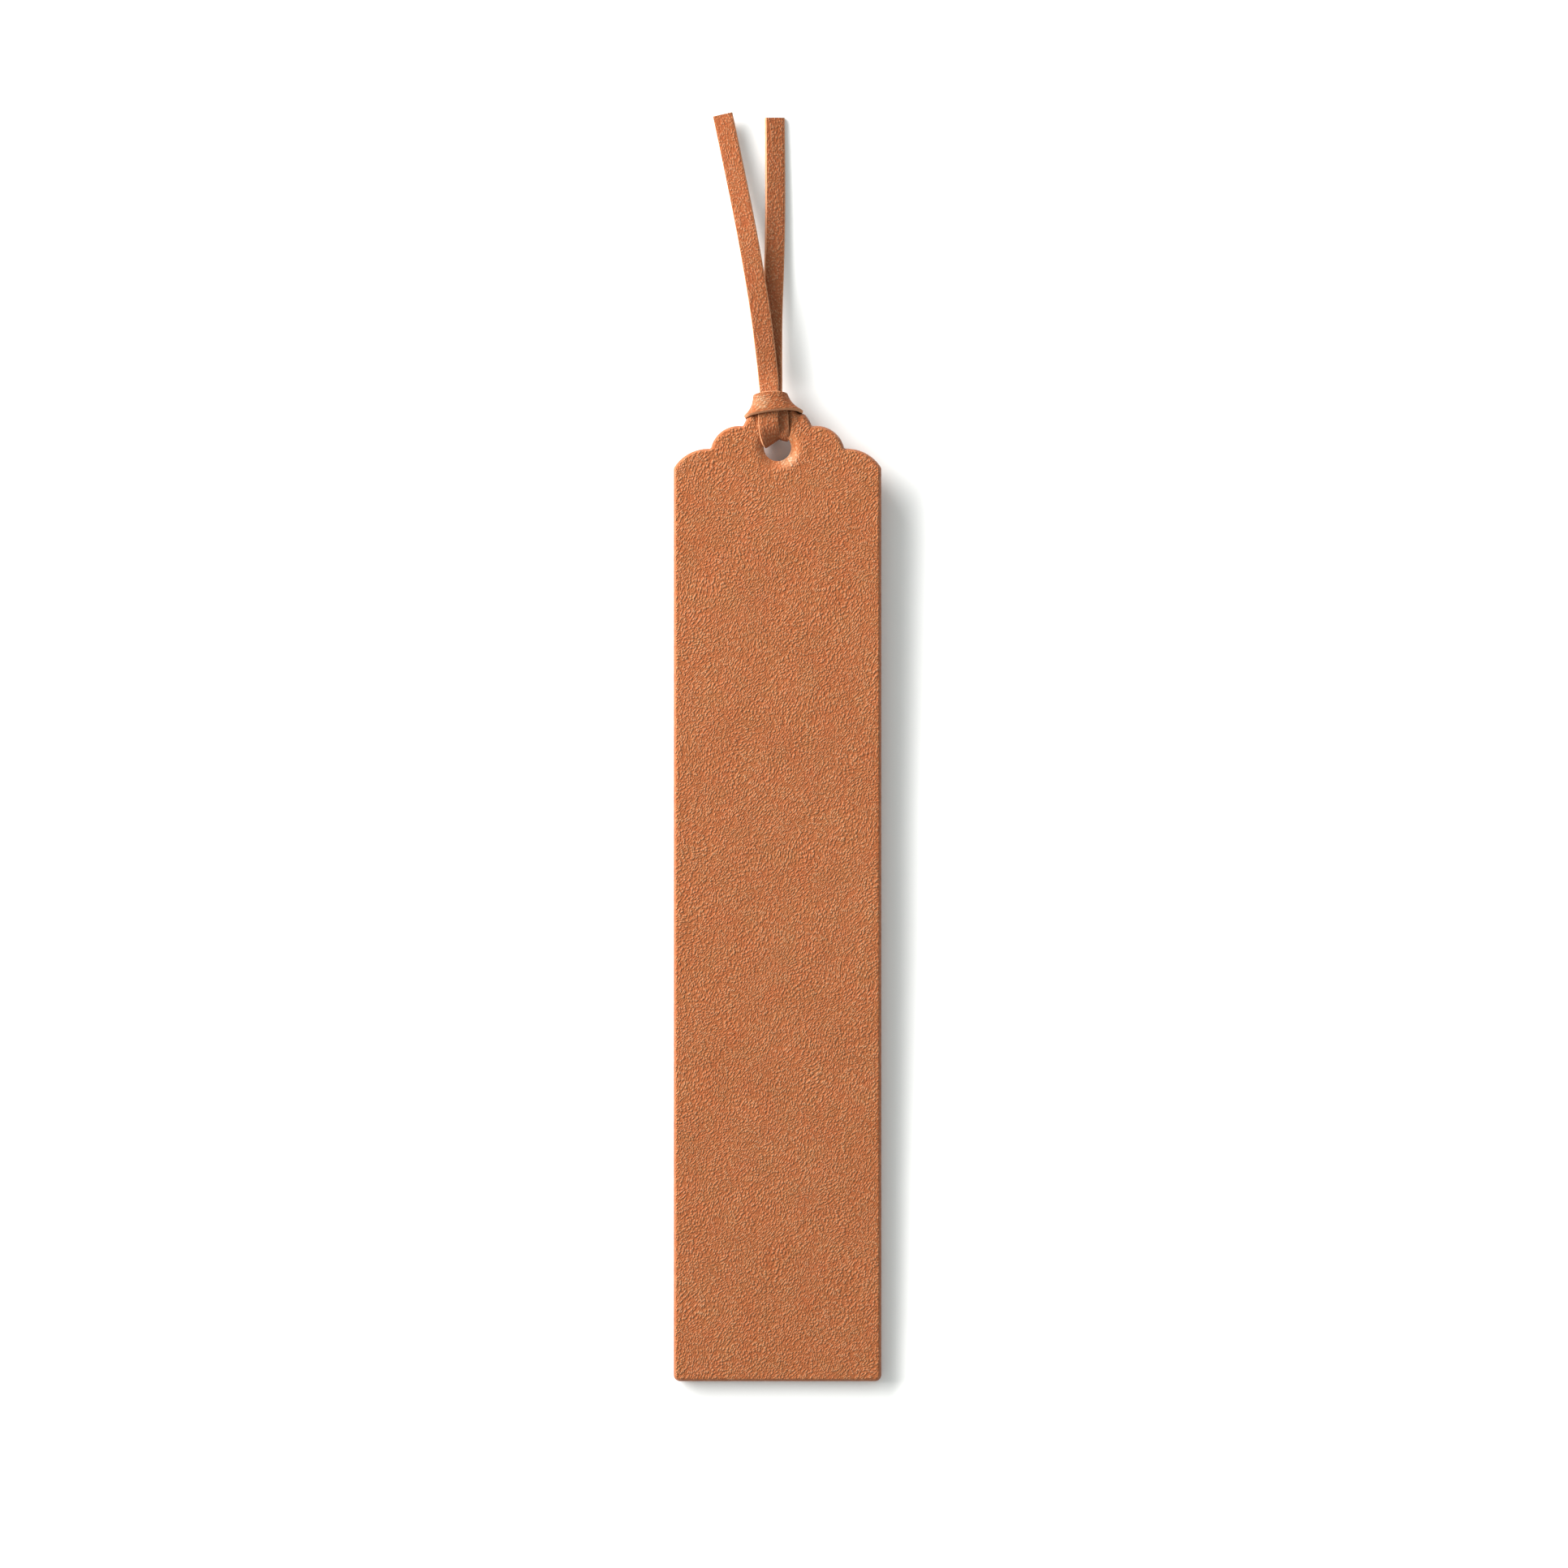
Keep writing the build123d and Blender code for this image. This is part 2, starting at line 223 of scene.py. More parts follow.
def dish(x, y):
    """How far the face sinks towards the punched hole; the lace drags the upper left of the rim down most."""
    dx, dy = x - H[0], y - H[1]
    r = np.hypot(dx, dy)
    drag = np.clip((-0.85 * dx + 0.53 * dy) / np.maximum(r, 1e-6), -1.0, 1.0)
    t = np.clip((3.95 - r) / (3.95 - HOLE_R), 0.0, 1.0)
    pulled = 0.52 * t**2.3
    t = np.clip((3.60 - r) / (3.60 - 2.25), 0.0, 1.0)
    rolled = 0.40 * t * t * (3 - 2 * t) + 0.08 * t**2.3
    side = smoothstep(-0.35, 0.45, drag)
    return side * pulled + (1.0 - side) * rolled


def groove(x, y):
    """The tight legs of the lace have pressed a bed into the face above the hole."""
    yp = y + Y0
    deep = (0.30 + 0.20 * smoothstep(148.6, 146.2, yp)) * smoothstep(-2.9, -1.6, x) * smoothstep(2.25, 1.75, x)
    gentle = 0.09 * smoothstep(4.3, 2.0, x) * smoothstep(-2.9, -1.6, x)
    return np.maximum(deep, gentle) * smoothstep(144.4, 146.0, yp)


def front_height(x, y):
    """The front face: nearly flat, with soft waves and a rolled rim round the hole."""
    z = FRONT_Z - 0.02 + 0.022 * slow(x, y) + 0.008 * mid_wave(x, y) + 0.0035 * fine_wave(x, y)
    return z - np.maximum(dish(x, y), groove(x, y))


def back_height(x, y):
    r = np.hypot(x - H[0], y - H[1])
    return BACK_Z + 0.01 + 0.008 * mid_wave(x + 40, y) + 0.0035 * fine_wave(x, y + 30) + 0.22 * smoothstep(3.2, 2.3, r)


def panel(name, height, z_inner, up, spacing):
    """A leather panel as a closed mesh: rolled outer edge, rolled hole, flat glued face."""
    # rings of the show face, from the glued edge inwards: (inset from the tag's outline, drop)
    rings = [(COAT, 0.56), (0.22, 0.40), (0.26, 0.24), (0.30, 0.14), (0.345, 0.075), (0.40, 0.035), (0.48, 0.012), (0.58, 0.003), (0.70, 0.0)]
    n = len(OUT)
    sign = 1.0 if up else -1.0
    verts, faces = [], []

    # outer rings
    base = ring_xy(COAT)
    verts += [(x, y, z_inner) for x, y in base]
    for d, drop in rings:
        p = ring_xy(d)
        z = height(p[:, 0], p[:, 1]) - sign * drop
        verts += [(x, y, zz) for (x, y), zz in zip(p, z)]
    outer_rings = len(rings) + 1
    # hole rings
    m = 96
    ang = np.linspace(0, 2 * math.pi, m, endpoint=False)
    hole_r = [HOLE_R, HOLE_R, HOLE_R + 0.015, HOLE_R + 0.06, HOLE_R + 0.14]
    hole_start = len(verts)
    for k, r in enumerate(hole_r):
        p = np.c_[H[0] + r * np.cos(ang), H[1] + r * np.sin(ang)]
        if k == 0:
            z = np.full(m, z_inner)
        else:
            drop = (0.045, 0.02, 0.006, 0.0)[k - 1]
            z = height(p[:, 0], p[:, 1]) - sign * drop
        verts += [(x, y, zz) for (x, y), zz in zip(p, z)]
    # strips between rings
    for k in range(outer_rings - 1):
        a, b = k * n, (k + 1) * n
        for i in range(n):
            j = (i + 1) % n
            q = (a + i, a + j, b + j, b + i)
            faces.append(q if up else q[::-1])
    for k in range(len(hole_r) - 1):
        a, b = hole_start + k * m, hole_start + (k + 1) * m
        for i in range(m):
            j = (i + 1) % m
            q = (a + j, a + i, b + i, b + j)
            faces.append(q if up else q[::-1])

    # fields of the two flat faces
    def field(outer, inner, pts_inside, z_of, facing_up):
        ring = [Vector((verts[i][0], verts[i][1])) for i in outer + inner]
        pts = ring + [Vector((float(x), float(y))) for x, y in pts_inside]
        no, ni = len(outer), len(inner)
        edges = [(i, (i + 1) % no) for i in range(no)] + [(no + i, no + (i + 1) % ni) for i in range(ni)]
        co, _, tri, orig, _, _ = delaunay_2d_cdt(pts, edges, [], 0, 1e-9)
        ids = []
        for k, c in enumerate(co):
            src = [s for s in orig[k] if s < no + ni]
            if src:
                ids.append((outer + inner)[src[0]])
            else:
                verts.append((c.x, c.y, 0.0))
                ids.append(len(verts) - 1)
        new = [(k, i) for k, i in enumerate(ids) if not any(s < no + ni for s in orig[k])]
        if new:
            xs = np.array([co[k].x for k, _ in new])
            ys = np.array([co[k].y for k, _ in new])
            zs = z_of(xs, ys)
            for (_, i), x, y, z in zip(new, xs, ys, zs):
                verts[i] = (x, y, float(z))
        inside_ring = np.array([[p.x, p.y] for p in ring[:no]])
        hole_rad = math.dist((verts[inner[0]][0], verts[inner[0]][1]), H)
        t = np.array([list(f) for f in tri])
        xy = np.array([[c.x, c.y] for c in co])
        cen = xy[t].mean(1)
        keep = in_polygon(cen, inside_ring) & (np.hypot(cen[:, 0] - H[0], cen[:, 1] - H[1]) > hole_rad * 0.9995)
        for f in t[keep]:
            q = [ids[f[0]], ids[f[1]], ids[f[2]]]
            area = (xy[f[1], 0] - xy[f[0], 0]) * (xy[f[2], 1] - xy[f[0], 1]) - (xy[f[2], 0] - xy[f[0], 0]) * (
                xy[f[1], 1] - xy[f[0], 1]
            )
            if (area > 0) != facing_up:
                q.reverse()
            faces.append(tuple(q))

    last = list(range((outer_rings - 1) * n, outer_rings * n))
    hole_last = list(range(hole_start + (len(hole_r) - 1) * m, hole_start + len(hole_r) * m))
    inset = ring_xy(rings[-1][0])
    x_lo, x_hi = inset[:, 0].min(), inset[:, 0].max()
    y_lo, y_hi = inset[:, 1].min(), inset[:, 1].max()
    gx = np.arange(x_lo, x_hi, spacing)
    gy = np.arange(y_lo, y_hi, spacing * 0.866)
    grid = np.array([(x + (0.5 * spacing if i % 2 else 0.0), y) for i, y in enumerate(gy) for x in gx])
    grid += rng.uniform(-0.12, 0.12, grid.shape) * spacing
    # finer points round the hole, where the face rolls in
    fine = []
    for k, r in enumerate(np.arange(hole_r[-1] + 0.16, 6.0, 0.18)):
        cnt = int(2 * math.pi * r / 0.2)
        a = np.linspace(0, 2 * math.pi, cnt, endpoint=False) + 0.5 * k
        fine.append(np.c_[H[0] + r * np.cos(a), H[1] + r * np.sin(a)])
    fine = np.vstack(fine)
    d_hole = np.hypot(grid[:, 0] - H[0], grid[:, 1] - H[1])
    shrunk = ring_xy(rings[-1][0] + 0.55 * spacing)
    grid = grid[(d_hole > 6.2) & in_polygon(grid, shrunk)]
    fine = fine[in_polygon(fine, shrunk)]
    field(last, hole_last, np.vstack([grid, fine]), height, up)
    # glued face
    field(
        list(range(n)), list(range(hole_start, hole_start + m)), np.zeros((0, 2)), lambda x, y: np.full(len(x), z_inner), not up
    )
    mesh = bpy.data.meshes.new(name)
    mesh.from_pydata([(x * MM, y * MM, z * MM) for x, y, z in verts], [], faces)
    mesh.polygons.foreach_set("use_smooth", [True] * len(mesh.polygons))
    mesh.update()
    return mesh


def in_polygon(p, poly):
    x, y = p[:, 0], p[:, 1]
    inside = np.zeros(len(p), bool)
    px, py = poly[:, 0], poly[:, 1]
    qx, qy = np.roll(px, -1), np.roll(py, -1)
    for ax, ay, bx, by in zip(px, py, qx, qy):
        if ay == by:
            continue
        hit = ((ay > y) != (by > y)) & (x < (bx - ax) * (y - ay) / (by - ay) + ax)
        inside ^= hit
    return inside


def bead(name):
    """The painted edge: a rounded bead all round the tag, tucked under the rolled edges of both leathers."""
    sec = [
        (0.50, 2.58), (0.46, 2.66), (0.39, 2.685), (0.31, 2.665), (0.22, 2.60), (0.13, 2.49), (0.06, 2.35), (0.015, 2.20), (0.0, 2.08),
        (0.015, 1.96), (0.06, 1.82), (0.13, 1.69), (0.22, 1.59), (0.31, 1.535), (0.39, 1.515), (0.46, 1.54), (0.50, 1.62),
    ]
    n, k = len(OUT), len(sec)
    wob = mid_wave(OUT[:, 0] * 1.7, OUT[:, 1] * 1.3)
    verts = []
    for d, z in sec:
        p = ring_xy(d)
        verts += [(x * MM, y * MM, (z + 0.010 * w) * MM) for (x, y), w in zip(p, wob)]
    faces = []
    for r in range(k):
        q = (r + 1) % k
        for i in range(n):
            j = (i + 1) % n
            faces.append((r * n + j, r * n + i, q * n + i, q * n + j))
    mesh = bpy.data.meshes.new(name)
    mesh.from_pydata(verts, [], faces)
    mesh.polygons.foreach_set("use_smooth", [True] * len(faces))
    mesh.update()
    return mesh


# ------------------------------------------------------------------ materials
def new_material(name):
    m = bpy.data.materials.new(name)
    m.use_nodes = True
    nt = m.node_tree
    nt.nodes.clear()
    out = nt.nodes.new("ShaderNodeOutputMaterial")
    bsdf = nt.nodes.new("ShaderNodeBsdfPrincipled")
    nt.links.new(bsdf.outputs["BSDF"], out.inputs["Surface"])
    return m, nt, bsdf


def node(nt, kind, **props):
    n = nt.nodes.new(kind)
    for k, v in props.items():
        setattr(n, k, v)
    return n


def ramp(nt, stops, source, interpolation="LINEAR"):
    r = node(nt, "ShaderNodeValToRGB")
    r.color_ramp.interpolation = interpolation
    el = r.color_ramp.elements
    while len(el) > 1:
        el.remove(el[-1])
    el[0].position, el[0].color = stops[0][0], (*stops[0][1], 1.0)
    for pos, col in stops[1:]:
        e = el.new(pos)
        e.color = (*col, 1.0)
    nt.links.new(source, r.inputs["Fac"])
    return r.outputs["Color"]


def math_node(nt, op, a, b=None, clamp=False):
    n = node(nt, "ShaderNodeMath", operation=op, use_clamp=clamp)
    for i, v in enumerate((a, b)):
        if v is None:
            continue
        if isinstance(v, (int, float)):
            n.inputs[i].default_value = v
        else:
            nt.links.new(v, n.inputs[i])
    return n.outputs[0]


def noise(nt, vector, scale, detail=2.0, rough=0.5, distortion=0.0):
    n = node(nt, "ShaderNodeTexNoise", noise_dimensions="3D")
    n.inputs["Scale"].default_value = scale
    n.inputs["Detail"].default_value = detail
    n.inputs["Roughness"].default_value = rough
    n.inputs["Distortion"].default_value = distortion
    nt.links.new(vector, n.inputs["Vector"])
    return n


def mapping(nt, vector, scale=(1, 1, 1), rotation=(0, 0, 0), location=(0, 0, 0)):
    n = node(nt, "ShaderNodeMapping")
    n.inputs["Scale"].default_value = scale
    n.inputs["Rotation"].default_value = rotation
    n.inputs["Location"].default_value = location
    nt.links.new(vector, n.inputs["Vector"])
    return n.outputs["Vector"]


def lin(r, g, b):
    """sRGB 0-255 to the linear values that the shader takes."""

    def f(c):
        c /= 255.0
        return c / 12.92 if c <= 0.04045 else ((c + 0.055) / 1.055) ** 2.4

    return (f(r), f(g), f(b))


def offset_by(nt, vector, source, amount):
    """Shift coordinates by a centred noise colour."""
    sub = node(nt, "ShaderNodeVectorMath", operation="SUBTRACT")
    sub.inputs[1].default_value = (0.5, 0.5, 0.5)
    nt.links.new(source, sub.inputs[0])
    sc = node(nt, "ShaderNodeVectorMath", operation="SCALE")
    sc.inputs["Scale"].default_value = amount
    nt.links.new(sub.outputs[0], sc.inputs[0])
    add = node(nt, "ShaderNodeVectorMath", operation="ADD")
    nt.links.new(vector, add.inputs[0])
    nt.links.new(sc.outputs[0], add.inputs[1])
    return add.outputs[0]


def grained_leather(
    name, crest, body, valley, depth, rough, cell=0.39, use_uv=False, pebble=0.65, mottle=0.5, warm=None, stretch=1.45, slant=60.0,
    spec=0.23, pressed=None, painted_highlight=None, tint=(1.0, 0.90, 0.74),
):
    """Fine pebbled calf.  Lengths in mm: cell is the pitch of the grain, depth its relief."""
    m, nt, bsdf = new_material(name)
    tc = node(nt, "ShaderNodeTexCoord")
    src = tc.outputs["UV"] if use_uv else tc.outputs["Object"]
    mm = mapping(nt, src, scale=(1000, 1000, 1000))
    # the grain runs a little longer one way, and that way wanders over the hide
    slow = offset_by(nt, mm, noise(nt, mm, 0.12, 1.0, 0.5).outputs["Color"], 3.0)
    turned = mapping(nt, slow, rotation=(0, 0, -math.radians(slant)))
    space = mapping(nt, turned, scale=(1.0 / (cell * stretch), 1.0 / cell, 1.0 / cell))
    ragged = offset_by(nt, space, noise(nt, space, 1.3, 1.0, 0.5).outputs["Color"], 0.32)
    vor = node(nt, "ShaderNodeTexVoronoi", voronoi_dimensions="3D", feature="F1")
    vor.inputs["Scale"].default_value = 1.0
    nt.links.new(ragged, vor.inputs["Vector"])
    bell = node(nt, "ShaderNodeMapRange", interpolation_type="SMOOTHSTEP")
    for key, val in (("From Min", 0.04), ("From Max", 0.70), ("To Min", 1.0), ("To Max", 0.0)):
        bell.inputs[key].default_value = val
    nt.links.new(vor.outputs["Distance"], bell.inputs["Value"])
    dome = bell.outputs["Result"]
    ridge = noise(nt, space, 1.8, 0.6, 0.5).outputs["Fac"]
    crumb = noise(nt, mm, 4.5, 2.0, 0.6).outputs["Fac"]
    h1 = math_node(nt, "MULTIPLY", dome, pebble)
    h2 = math_node(nt, "MULTIPLY", ridge, 2.0 * (1.0 - pebble))
    h3 = math_node(nt, "MULTIPLY", crumb, 0.22)
    relief = math_node(nt, "ADD", math_node(nt, "ADD", h1, h2), h3)
    # parts of the hide are smoother than others
    patch = noise(nt, mm, 0.22, 2.0, 0.5).outputs["Fac"]
    strength = math_node(nt, "MULTIPLY_ADD", patch, 0.5)
    strength.node.inputs[2].default_value = 0.75
    if pressed is not None:
        # the punch and the lace have pressed the grain smooth here
        flat = mapping(nt, src, scale=(1000, 1000, 0), location=(-pressed[0], -pressed[1], 0))
        away = node(nt, "ShaderNodeVectorMath", operation="LENGTH")
        nt.links.new(flat, away.inputs[0])
        fade = node(nt, "ShaderNodeMapRange", interpolation_type="SMOOTHSTEP")
        for key, val in (("From Min", pressed[2]), ("From Max", pressed[3]), ("To Min", 0.28), ("To Max", 1.0)):
            fade.inputs[key].default_value = val
        nt.links.new(away.outputs["Value"], fade.inputs["Value"])
        strength = math_node(nt, "MULTIPLY", strength, fade.outputs["Result"])
    height = math_node(nt, "MULTIPLY", relief, strength)
    bump = node(nt, "ShaderNodeBump")
    bump.inputs["Strength"].default_value = 1.0
    bump.inputs["Distance"].default_value = depth * MM
    nt.links.new(height, bump.inputs["Height"])
    nt.links.new(bump.outputs["Normal"], bsdf.inputs["Normal"])
    # colour: the crests are painted paler, a painted highlight on the grain; the valleys are darker and redder, partly
    # dye gathered there and partly painted shade; and the hide took the dye unevenly
    tone = math_node(nt, "MULTIPLY_ADD", relief, 0.75)
    tone.node.inputs[2].default_value = -0.10
    cloud = noise(nt, mm, 0.085, 3.0, 0.55).outputs["Fac"]
    streak = noise(nt, mapping(nt, turned, scale=(0.10, 0.30, 0.3)), 1.0, 3.0, 0.6).outputs["Fac"]
    both = math_node(nt, "ADD", math_node(nt, "MULTIPLY", cloud, 0.55), math_node(nt, "MULTIPLY", streak, 0.45))
    shift = math_node(nt, "MULTIPLY", math_node(nt, "SUBTRACT", both, 0.5), mottle)
    fac = math_node(nt, "ADD", tone, shift, clamp=True)
    col = ramp(nt, [(0.0, valley), (0.45, body), (1.0, crest)], fac)
    if warm is not None:
        # faint drift of hue, redder here and yellower there
        hue = noise(nt, mm, 0.33, 2.0, 0.5).outputs["Fac"]
        mixer = node(nt, "ShaderNodeMix", data_type="RGBA", blend_type="MULTIPLY")
        mixer.inputs["Factor"].default_value = 1.0
        nt.links.new(col, mixer.inputs["A"])
        nt.links.new(ramp(nt, [(0.3, warm[0]), (0.7, warm[1])], hue), mixer.inputs["B"])
        col = mixer.outputs["Result"]
    if painted_highlight is not None:
        # a painted highlight: the colour is made paler in a round spot
        spot = mapping(nt, tc.outputs["Object"], scale=(1000, 1000, 600), location=(-painted_highlight[0], -painted_highlight[1], -0.6 * painted_highlight[2]))
        gap = node(nt, "ShaderNodeVectorMath", operation="LENGTH")
        nt.links.new(spot, gap.inputs[0])
        pale = node(nt, "ShaderNodeMapRange", interpolation_type="SMOOTHSTEP")
        for key, val in (("From Min", painted_highlight[3]), ("From Max", painted_highlight[4]), ("To Min", 1.0), ("To Max", 0.0)):
            pale.inputs[key].default_value = val
        nt.links.new(gap.outputs["Value"], pale.inputs["Value"])
        painted_highlight_mix = node(nt, "ShaderNodeMix", data_type="RGBA", blend_type="MULTIPLY")
        nt.links.new(pale.outputs["Result"], painted_highlight_mix.inputs["Factor"])
        nt.links.new(col, painted_highlight_mix.inputs["A"])
        painted_highlight_mix.inputs["B"].default_value = (*painted_highlight[5], 1.0)
        col = painted_highlight_mix.outputs["Result"]
    nt.links.new(col, bsdf.inputs["Base Color"])
    rr = math_node(nt, "MULTIPLY_ADD", relief, -0.12)
    rr.node.inputs[2].default_value = rough + 0.10
    if pressed is not None:
        rr = math_node(nt, "SUBTRACT", rr, math_node(nt, "MULTIPLY", math_node(nt, "SUBTRACT", 1.0, fade.outputs["Result"]), 0.15))
    nt.links.new(rr, bsdf.inputs["Roughness"])
    bsdf.inputs["Specular IOR Level"].default_value = spec
    bsdf.inputs["Specular Tint"].default_value = (*tint, 1.0)
    return m


def edge_paint(name, pale, deep):
    m, nt, bsdf = new_material(name)
    tc = node(nt, "ShaderNodeTexCoord")
    mm = mapping(nt, tc.outputs["Object"], scale=(1000, 1000, 1000))
    a = noise(nt, mm, 0.8, 3.0, 0.6).outputs["Fac"]
    col = ramp(nt, [(0.3, deep), (0.7, pale)], a)
    nt.links.new(col, bsdf.inputs["Base Color"])
    b = noise(nt, mm, 3.2, 3.0, 0.6).outputs["Fac"]
    bump = node(nt, "ShaderNodeBump")
    bump.inputs["Strength"].default_value = 1.0
    bump.inputs["Distance"].default_value = 0.03 * MM
    nt.links.new(b, bump.inputs["Height"])
    nt.links.new(bump.outputs["Normal"], bsdf.inputs["Normal"])
    bsdf.inputs["Roughness"].default_value = 0.48
    bsdf.inputs["Specular IOR Level"].default_value = 0.30
    return m


def fibrous(name, pale, deep, scale=(6.0, 1.6, 6.0), depth=0.03, rough=0.85):
    """Raw leather: cut edges and the flesh side, or pressed board."""
    m, nt, bsdf = new_material(name)
    tc = node(nt, "ShaderNodeTexCoord")
    mm = mapping(nt, tc.outputs["Object"], scale=(1000, 1000, 1000))
    a = noise(nt, mapping(nt, mm, scale=scale), 1.0, 4.0, 0.65).outputs["Fac"]
    col = ramp(nt, [(0.25, deep), (0.75, pale)], a)
    nt.links.new(col, bsdf.inputs["Base Color"])
    bump = node(nt, "ShaderNodeBump")
    bump.inputs["Strength"].default_value = 1.0
    bump.inputs["Distance"].default_value = depth * MM
    nt.links.new(a, bump.inputs["Height"])
    nt.links.new(bump.outputs["Normal"], bsdf.inputs["Normal"])
    bsdf.inputs["Roughness"].default_value = rough
    bsdf.inputs["Specular IOR Level"].default_value = 0.25
    return m


def dim(c, k):
    return tuple(v * k for v in c)


HUE = ((1.03, 0.97, 0.96), (0.97, 1.03, 1.0))
K = 0.515
# the face gets a painted highlight, a paler spot on the rim below and to the right of the hole
face_mat = grained_leather(
    "face_leather", dim(lin(239, 184, 145), K), dim(lin(213, 133, 88), K), dim(lin(190, 99, 54), K), 0.225, 0.56, cell=0.32, mottle=0.32, warm=HUE,
    pressed=(HOLE[0], HOLE[1] - Y0, 2.5, 4.3), painted_highlight=(HOLE[0] + 1.75, HOLE[1] - 1.75 - Y0, FRONT_Z, 0.5, 2.0, (1.12, 1.65, 2.2)),
)
back_mat = grained_leather(
    "back_leather", (0.60, 0.23, 0.09), (0.50, 0.165, 0.055), (0.40, 0.115, 0.032), 0.10, 0.60, cell=0.36, slant=40.0
)
# the lace gets a painted highlight, a paler spot on the left of the collar
lace_mat = grained_leather(
    "lace_leather", dim(lin(237, 179, 141), 0.468), dim(lin(208, 128, 85), 0.468), dim(lin(182, 88, 46), 0.468), 0.125, 0.56, cell=0.31, slant=75.0,
    use_uv=True, mottle=0.35, warm=HUE, painted_highlight=(-2.5, 151.0 - Y0, 3.9, 0.4, 1.7, (1.12, 1.65, 2.1)),
)
cut_mat = fibrous("cut_edge", (0.52, 0.25, 0.13), (0.37, 0.155, 0.078))
flesh_mat = fibrous("flesh_side", dim(lin(214, 160, 118), 0.6), dim(lin(186, 128, 88), 0.6), scale=(3.0, 3.0, 3.0))
coat_mat = edge_paint("edge_paint", dim(lin(208, 131, 88), 0.50), dim(lin(178, 102, 64), 0.50))
board_mat = fibrous("board", dim(lin(176, 122, 82), 0.7), dim(lin(148, 96, 60), 0.7), scale=(1.5, 4.0, 8.0))
glue_mat = fibrous("adhesive", dim(lin(206, 160, 104), 0.7), dim(lin(182, 132, 80), 0.7), scale=(1.0, 1.0, 1.0), rough=0.5)


def dress(obj, *mats):
    if len(obj.data.materials):
        obj.data.materials.clear()
    for mt in mats:
        obj.data.materials.append(mt)


# ------------------------------------------------------------------ tag
front = link("front_leather", panel("front_leather", front_height, FRONT_Z - LEATHER, True, 0.55))
dress(front, face_mat)
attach(front, "tag")
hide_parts("front_panel")

back = link("back_leather", panel("back_leather", back_height, BACK_Z + LEATHER, False, 0.9))
dress(back, back_mat)
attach(back, "tag")
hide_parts("back_panel")

coat = link("edge_bead", bead("edge_bead"))
dress(coat, coat_mat)
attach(coat, "tag")
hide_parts("edge_coat")

for n, mt in (("stiffener", board_mat), ("front_film", glue_mat), ("back_film", glue_mat)):
    dress(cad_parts[n], mt)


# ------------------------------------------------------------------ lace
# The lace is one strip.  Its two tails follow splines through their routes; the hitch between them
# is given by its two cut edges.  Travel runs from the left tip, through the hitch, to the right tip.
def spline_points(points):
    """Points along the smooth curve of a route."""
    cu = bpy.data.curves.new("route", "CURVE")
    cu.dimensions = "3D"
    sp = cu.splines.new("NURBS")
    sp.points.add(len(points) - 1)
    for p, (x, y, z) in zip(sp.points, points):
        p.co = (x * MM, (y - Y0) * MM, z * MM, 1.0)
    sp.order_u = 3
    sp.use_endpoint_u = True
    sp.resolution_u = 24
    ob = bpy.data.objects.new("route", cu)
    bpy.context.scene.collection.objects.link(ob)
    bpy.context.view_layer.update()
    me = bpy.data.meshes.new_from_object(ob.evaluated_get(bpy.context.evaluated_depsgraph_get()))
    pts = np.array([v.co[:] for v in me.vertices]) / MM
    bpy.data.meshes.remove(me)
    bpy.data.objects.remove(ob)
    bpy.data.curves.remove(cu)
    return pts


LEFT_ROUTE = [
    (-8.48, 195.42, 0.80),
    (-6.46, 185.84, 1.08),
    (-4.53, 176.19, 1.60),
    (-2.73, 165.72, 2.20),
    (-1.75, 157.86, 1.95),
    (-1.42, 154.90, 2.00),
    (-1.30, 152.95, 2.78),
    (-1.24, 151.40, 3.28),
]
RIGHT_ROUTE = [
    (-0.70, 151.40, 2.76),
    (-0.78, 152.95, 2.22),
    (-0.80, 154.90, 1.25),
    (-0.81, 157.80, 1.08),
    (-0.74, 164.77, 0.86),
    (-0.38, 174.82, 0.42),
    (-0.30, 185.47, 0.30),
    (-0.41, 194.98, 0.14),
]
left_line = spline_points(LEFT_ROUTE)
right_line = spline_points(RIGHT_ROUTE)


def tail_edges(line, side, roll_of, width_of):
    """The two cut edges of a tail: a flat strip that rolls a little along its length."""
    t = np.gradient(line, axis=0)
    t /= np.linalg.norm(t, axis=1)[:, None]
    e1, e2 = [], []
    for p, d in zip(line, t):
        yp = p[1] + Y0
        flat = np.cross([0, 0, 1.0], d)
        flat /= np.linalg.norm(flat)
        up = np.cross(d, flat)
        roll = math.radians(roll_of(yp))
        b = math.cos(roll) * flat + math.sin(roll) * up
        w = width_of(yp) / 2
        e1.append(p - b * w * side)
        e2.append(p + b * w * side)
    return np.array(e1), np.array(e2)


def left_width(yp):
    return LACE_W - 0.22 * float(smoothstep(154.5, 152.2, yp))


def right_width(yp):
    return LACE_W - 0.10 * float(smoothstep(154.5, 152.2, yp))


# the flat direction points to the right when a strip travels down, to the left when it travels up
l1, l2 = tail_edges(left_line, 1.0, lambda yp: 8.0 * float(smoothstep(166, 184, yp)) + 3.0 * float(smoothstep(156, 152, yp)), left_width)
r1, r2 = tail_edges(right_line, 1.0, lambda yp: 8.0 * float(smoothstep(156, 164, yp)) - 1.5 * float(smoothstep(170, 180, yp)), right_width)

